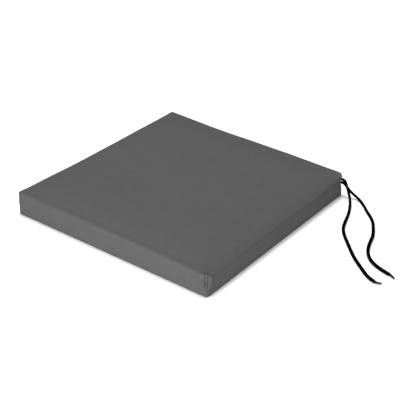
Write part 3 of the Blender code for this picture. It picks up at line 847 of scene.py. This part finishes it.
def foam_block(material):
    """The foam inside, cut to the cover's outline. It stands and sags with the cover, just under it."""
    low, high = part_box("foam_core")
    bm = bmesh.new()
    bmesh.ops.create_cube(bm, size=2)
    bmesh.ops.scale(bm, verts=bm.verts, vec=(high.x, (high.y - low.y) / 2, (high.z - low.z) / 2))
    middle = Vector((0, (high.y + low.y) / 2 - PAD_MIDDLE.y, (high.z + low.z) / 2))
    bmesh.ops.translate(bm, verts=bm.verts, vec=middle)
    upright = [e for e in bm.edges if abs(e.verts[0].co.z - e.verts[1].co.z) > MM]
    soften(bm, upright, 18 * MM, 8)
    rims = [e for e in bm.edges if abs(e.verts[0].co.z - e.verts[1].co.z) < MM]
    soften(bm, rims, 7 * MM, 4)
    for axis, half in (((1, 0, 0), HALF_WIDTH), ((0, 1, 0), HALF_DEPTH)):
        for step in range(-19, 20):
            cut_through(bm, Vector(axis) * half * step / 20, axis)
    for vert in bm.verts:
        flat = vert.co.copy()
        puffed = puff(flat, flat)
        vert.co = Vector((flat.x, flat.y, max(puffed.z - 1.2 * MM * flat.z / HEIGHT, low.z)))
        vert.co.x *= half_width_at(flat.y) / HALF_WIDTH
        vert.co += Vector((PAD_MIDDLE.x, PAD_MIDDLE.y, 0))
    foam = finish_piece("foam_block", bm, material, "foam_core")


# ======== stitching
def stitch_row(bm, path, length, spacing, radius, dip, out):
    """A row of stitches along a path: each a short run of thread whose ends dive into the cloth."""
    run = smooth_path(path, spacing)
    for near, far in zip(run, run[1:]):
        ahead = (far - near).normalized()
        middle = (near + far) / 2
        arch = []
        for share, fall in ((-0.5, 1.0), (-0.36, 0.35), (0.0, 0.0), (0.36, 0.35), (0.5, 1.0)):
            arch.append(middle + ahead * length * share - out * dip * fall)
        sweep(bm, arch, radius, 6, first_side=out)


def on_cover_back(x, z):
    """The place on the outside of the cover's back, at a place along it and a height."""
    flat = Vector((x * HALF_WIDTH / BACK_HALF_WIDTH, HALF_DEPTH, z))
    place = puff(flat, round_over(flat))
    return Vector((x, place.y + sew(flat) + mouth_fold(flat) + PAD_MIDDLE.y, place.z))


def zip_stitching(thread):
    """The two rows of top stitching beside the zip's opening."""
    for side in ("upper", "lower"):
        low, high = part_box("zip_stitching_" + side)
        z = (low.z + high.z) / 2
        row = [on_cover_back(low.x + (high.x - low.x) * step / 50, z) for step in range(51)]
        raised = [place + Vector((0, 0.12 * MM, 0)) for place in row]
        bm = bmesh.new()
        stitch_row(bm, raised, 3.0 * MM, 3.6 * MM, 0.28 * MM, 0.5 * MM, Vector((0, 1, 0)))
        finish_piece("zip_top_stitches_" + side, bm, thread, "zip_stitching_" + side)


def seam_stitching(thread):
    """The lockstitch inside the cover, up each corner and around the base."""
    corners = [n for n in frame["nodes"] if n.startswith("corner_seam_")]
    for node in sorted(corners):
        low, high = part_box(node)
        middle = (low + high) / 2
        out = Vector((middle.x - PAD_MIDDLE.x, middle.y - PAD_MIDDLE.y, 0)).normalized()
        bm = bmesh.new()
        ends = [(middle.x, middle.y, z) for z in (low.z, middle.z, high.z)]
        spacing = (high.z - low.z) / max(2, round((high.z - low.z) / (2.6 * MM)))
        stitch_row(bm, ends, spacing * 0.85, spacing, 0.25 * MM, 0.2 * MM, out)
        finish_piece(node.replace("seam", "stitches"), bm, thread, node)
    low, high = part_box("base_seam")
    z = (low.z + high.z) / 2
    bm = bmesh.new()
    radius = 0.35 * MM
    front, back = low.y + radius, high.y - radius
    corner = 5 * MM
    inset = HALF_WIDTH - (high.x - radius)
    wide, narrow = (half_width_at(y - PAD_MIDDLE.y) - inset for y in (front, back))
    sides = [
        [(-wide + corner, front, z), (wide - corner, front, z)],
        [(wide, front + corner, z), (narrow, back - corner, z)],
        [(narrow - corner, back, z), (-narrow + corner, back, z)],
        [(-narrow, back - corner, z), (-wide, front + corner, z)],
    ]
    for start, end in sides:
        middle = (Vector(start) + Vector(end)) / 2
        stitch_row(bm, [start, middle, end], 2.9 * MM, 3.4 * MM, 0.25 * MM, 0.2 * MM, Vector((0, 0, 1)))
    finish_piece("base_stitches", bm, thread, "base_seam")


# ======== the zip
def zip_tapes(material):
    """The two tapes, each with the rolled cord along its inner edge that the coil is sewn to."""
    for side, sign in (("upper", 1), ("lower", -1)):
        low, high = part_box("zip_tape_" + side)
        bm = beveled_box(low, high, 0.15 * MM)
        for step in range(-17, 18):
            cut_through(bm, (step * 10 * MM, 0, 0), (1, 0, 0))
        inner = low.z if sign > 0 else high.z
        rib = 0.28 * MM
        z = inner + sign * rib
        path = smooth_path([(low.x, high.y, z), (0, high.y, z), (high.x, high.y, z)], 10 * MM)
        sweep(bm, path, rib, 8)
        finish_piece("zip_tape_cloth_" + side, bm, material, "zip_tape_" + side)


def row_offset(x):
    """How far a coil's middle is from the zip's middle: closed along the zip, and parting in the slider."""
    closed = 1.25 * MM
    open_ = 2.6 * MM
    return open_ + (closed - open_) * ramp(x, WEDGE_END, SLIDER_BOX[1].x)


def coil_rows(material):
    """The two coils, wound as flattened loops whose heads lock between the other row's."""
    pitch = 1.3 * MM
    loop_points = 12
    y = (COIL_BOX[0].y + COIL_BOX[1].y) / 2
    start, end = COIL_BOX[0].x, COIL_BOX[1].x
    turns = int((end - start) / pitch) - 1
    wire, core_radius = 0.3 * MM, 0.42 * MM
    # Half a loop's height and depth, and how far its heads lean along the zip
    loop_z, loop_y, loop_lean = 1.08 * MM, 0.78 * MM, 0.18 * MM
    for side, sign in (("upper", 1), ("lower", -1)):
        shift = 0 if sign > 0 else pitch / 2
        path = []
        for step in range(turns * loop_points + 1):
            angle = 2 * math.pi * step / loop_points
            x = start + wire + shift + pitch * step / loop_points
            z = ZIP_MIDDLE + sign * (row_offset(x) - loop_z * math.cos(angle) - 0.06 * MM)
            path.append(Vector((x + loop_lean * math.sin(angle), y + loop_y * math.sin(angle), z)))
        bm = bmesh.new()
        sweep(bm, path, wire, 6, first_side=Vector((1, 0, 0)))
        # The cord that runs through the coil and takes its stitches
        core = [Vector((start + (end - start) * i / 60, y, 0)) for i in range(61)]
        for point in core:
            point.z = ZIP_MIDDLE + sign * (row_offset(point.x) + 0.35 * MM)
        sweep(bm, core, core_radius, 8)
        finish_piece("zip_coil_row_" + side, bm, material, "zip_coil_" + side)


def zip_stops(metal):
    """The crimped stops at both ends of the coils."""
    for node in ("zip_top_stop_upper", "zip_top_stop_lower", "zip_bottom_stop"):
        low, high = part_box(node)
        bm = beveled_box(low, high, 0.45 * MM, segments=3)
        back = [f for f in bm.faces if f.normal.y > 0.95]
        bmesh.ops.inset_region(bm, faces=back, thickness=0.18 * MM)
        dent = list({v for f in back for v in f.verts})
        bmesh.ops.translate(bm, verts=dent, vec=(0, -0.12 * MM, 0))
        finish_piece(node + "_crimp", bm, metal, node)


def rounded_plate(length, width, low, high, taper, edge, points=40, powers=(0.55, 0.5)):
    """A plate: rounded at both ends, a little narrower at its tail, with soft edges. Low powers leave its
    outline squarer along its length and across it."""
    bm = bmesh.new()
    rim = bmesh.ops.create_circle(bm, segments=points, radius=1, cap_ends=True)["verts"]
    for vert in rim:
        angle = math.atan2(vert.co.y, vert.co.x)
        u = math.copysign(abs(math.cos(angle)) ** powers[0], math.cos(angle))
        v = math.copysign(abs(math.sin(angle)) ** powers[1], math.sin(angle))
        vert.co = (u * length / 2, 0, v * width / 2 * (1 - taper * (u + 1) / 2))
    grown = bmesh.ops.extrude_face_region(bm, geom=bm.faces[:])["geom"]
    top = [g for g in grown if isinstance(g, bmesh.types.BMVert)]
    bmesh.ops.translate(bm, verts=bm.verts, vec=(0, low, 0))
    bmesh.ops.translate(bm, verts=top, vec=(0, high - low, 0))
    bmesh.ops.recalc_face_normals(bm, faces=bm.faces)
    soften(bm, [e for e in bm.edges if e.calc_face_angle(0) > 1.0], edge, 3)
    return bm


def unite(piece, helpers, operation="UNION"):
    """Join helpers to a piece, or cut them from it, and remove them."""
    for helper in helpers:
        modifier = piece.modifiers.new(helper.name, "BOOLEAN")
        modifier.operation = operation
        modifier.object = helper
        modifier.solver = "EXACT"
    set_shape(piece)
    for helper in helpers:
        bpy.data.objects.remove(helper)
    piece.data.shade_smooth()
    piece.data.set_sharp_from_angle(angle=math.radians(35))


def slider_body(metal):
    """The slider: two rounded plates, side walls, the wedge that parts the rows, and an arched bridge."""
    low, high = SLIDER_BOX
    middle = Vector(((low.x + high.x) / 2, 0, ZIP_MIDDLE))
    length, width = high.x - low.x, high.z - low.z
    top_inside = TAB_AXIS.y - 2.15 * MM
    top_outside = TAB_AXIS.y - 1.05 * MM
    plate = rounded_plate(length, width, top_inside, top_outside, 0.12, 0.35 * MM)
    under = rounded_plate(length, width, low.y, low.y + 1.1 * MM, 0.12, 0.3 * MM)
    for bm in (plate, under):
        bmesh.ops.translate(bm, verts=bm.verts, vec=middle)
    piece = finish_piece("zip_slider", plate, metal, "zip_slider_body", body="zip_slider")
    helpers = [put_shape("under_plate", under)]
    wall, gap = 0.8 * MM, 0.02 * MM
    inside = top_inside + 0.5 * MM
    for name, z in (("upper_wall", high.z - wall), ("lower_wall", low.z)):
        near = (low.x + 1.1 * MM, TAPE_BOX[1].y + 0.3 * MM, z + gap)
        far = (high.x - 1.4 * MM, inside, z + wall - gap)
        helpers.append(put_shape(name, beveled_box(near, far, 0.2 * MM)))
    near = (low.x + 0.2 * MM, low.y + 0.5 * MM, ZIP_MIDDLE - MM)
    wedge = beveled_box(near, (WEDGE_END, inside, ZIP_MIDDLE + MM), 0.3 * MM)
    helpers.append(put_shape("wedge", wedge))
    rise = [(3.65, -0.5), (3.65, 0.9), (2.9, 2.1), (1.4, 2.45)]
    outline = [(-x, y) for x, y in rise] + [(0.0, 2.5)] + rise[::-1]
    arch = [(middle.x + x * MM, top_outside + y * MM, ZIP_MIDDLE) for x, y in outline]
    bm = bmesh.new()
    sweep(bm, smooth_path(arch, 0.5 * MM), MM, 12, flatten=0.42)
    helpers.append(put_shape("bridge", bm))
    unite(piece, helpers)


def pull_tab(metal):
    """The pull tab: a tapered plate with a sunk panel, and a window that hooks over the bridge."""
    low, high = TAB_BOX
    length, thickness, width = high.x - low.x, high.y - low.y, high.z - low.z
    bm = rounded_plate(
        length, width, -thickness / 2, thickness / 2, 0.1, 0.22 * MM, points=48, powers=(0.35, 0.35)
    )
    bmesh.ops.translate(bm, verts=bm.verts, vec=(low + high) / 2)
    piece = finish_piece("zip_pull", bm, metal, "zip_pull_tab", body="pull_tab")
    cutters = []
    # Each cutter's reach along the tab and through it, its half width, and its edges
    window_end, panel_end, sunk = TAB_AXIS.x + 6.0 * MM, high.x - 1.8 * MM, 0.25 * MM
    for name, start, end, near, far, half, bevel, segments in (
        ("window", 0.6, window_end, low.y - MM, high.y + MM, 1.6, 0.5, 2),
        ("outer_panel", 8.0, panel_end, high.y - sunk, high.y + MM, 2.0, 0.6, 3),
        ("inner_panel", 8.0, panel_end, low.y - MM, low.y + sunk, 2.0, 0.6, 3),
    ):
        first = (TAB_AXIS.x + start * MM, near, ZIP_MIDDLE - half * MM)
        last = (end, far, ZIP_MIDDLE + half * MM)
        cutters.append(put_shape(name, beveled_box(first, last, bevel * MM, segments)))
    unite(piece, cutters, "DIFFERENCE")


# ======== the tie
def braid(length, start_radius, end_radius):
    """The radius of a braided cord at each place: strands that cross over and under each other."""
    strands, lay = 6, 7.5 * MM
    relief = 0.22 * MM

    def reach(share, angle):
        run = 2 * math.pi * share * length / lay
        a = (strands * angle + strands * run / 2) / (2 * math.pi)
        b = (strands * angle - strands * run / 2) / (2 * math.pi)
        over = (math.floor(a) + math.floor(b)) % 2
        t = (a if over else b) % 1
        radius = start_radius + (end_radius - start_radius) * ramp(share, 0.2, 0.55)
        return radius - relief * (2 * t - 1) ** 2

    return reach


def tie(cord, sealed, thread):
    """The tie's two strands with their sealed tips, the fold inside the seam, and its bar tack."""
    for name, route in (("upper", UPPER_ROUTE), ("lower", LOWER_ROUTE)):
        points = [Vector(p) + FRAME_SHIFT for p in route]
        path = smooth_path(points, 0.5 * MM)
        length = sum((q - p).length for p, q in zip(path, path[1:]))
        bm = bmesh.new()
        sweep(bm, path, braid(length, HANGING_RADIUS, LYING_RADIUS), 24)
        strand = finish_piece("tie_cord_" + name, bm, cord, "tie_strand_" + name, smooth_angle=180)
        along = (path[-1] - path[-2]).normalized()
        start = path[-1] - along * 0.3 * MM
        bend = start + along * 0.3 * TIP_LENGTH
        end = bend + TIP_AHEAD[name].normalized() * 0.75 * TIP_LENGTH
        run = smooth_path([start, bend, end], 0.4 * MM)

        def tip_reach(share, angle):
            neck = (LYING_RADIUS - TIP_DIAMETER / 2) * bell(share, 0.2)
            close = math.sqrt(max(1 - ramp(share, 0.93, 1.0) ** 2, 0.02))
            return (TIP_DIAMETER / 2 * (1 - 0.12 * share) + neck * 0.9) * close

        bm = bmesh.new()
        sweep(bm, run, tip_reach, 16)
        tip = finish_piece("tie_end_" + name, bm, sealed, "tie_tip_" + name, smooth_angle=180)

    top = Vector(UPPER_ROUTE[0]) + FRAME_SHIFT
    bottom = Vector(LOWER_ROUTE[0]) + FRAME_SHIFT
    inward = (top - Vector(UPPER_ROUTE[1]) - FRAME_SHIFT).normalized()
    bend = (top.z - bottom.z) / 2
    middle = (top + bottom) / 2 + inward * 0.6 * MM
    turns = []
    for step in range(9):
        angle = math.pi * step / 8
        turns.append(middle + bend * (inward * math.sin(angle) + Vector((0, 0, math.cos(angle)))))
    path = smooth_path([top + inward * 0.3 * MM, *turns, bottom + inward * 0.3 * MM], 0.5 * MM)
    bm = bmesh.new()
    reach = braid(math.pi * bend, HANGING_RADIUS, HANGING_RADIUS)
    sweep(bm, path, reach, 24, first_side=Vector((inward.y, -inward.x, 0)))
    finish_piece("tie_folded_end", bm, cord, "tie_fold", smooth_angle=180)

    low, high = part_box("tie_bartack")
    middle = (low + high) / 2
    along = Vector((inward.x, inward.y, 0))
    zigzag = []
    rows = 14
    for row in range(rows + 1):
        z = low.z + (high.z - low.z) * row / rows
        zigzag.append(Vector((middle.x, middle.y, z)) + along * (0.9 * MM if row % 2 else -0.9 * MM))
    bm = bmesh.new()
    sweep(bm, zigzag, 0.25 * MM, 6)
    finish_piece("tie_bar_tack", bm, thread, "tie_bartack")


# ======== all together
place_camera()
light_the_set()
thread = spun_thread()
metal = enamelled_zinc()
tie(braided_polyester(), sealed_polyester(), thread)
cover_panels(coated_polyester())
foam_block(polyurethane_foam())
zip_stitching(thread)
seam_stitching(thread)
zip_tapes(zip_tape_weave())
coil_rows(nylon_monofilament())
zip_stops(metal)
slider_body(metal)
pull_tab(metal)
lay_floor(painted_floor())
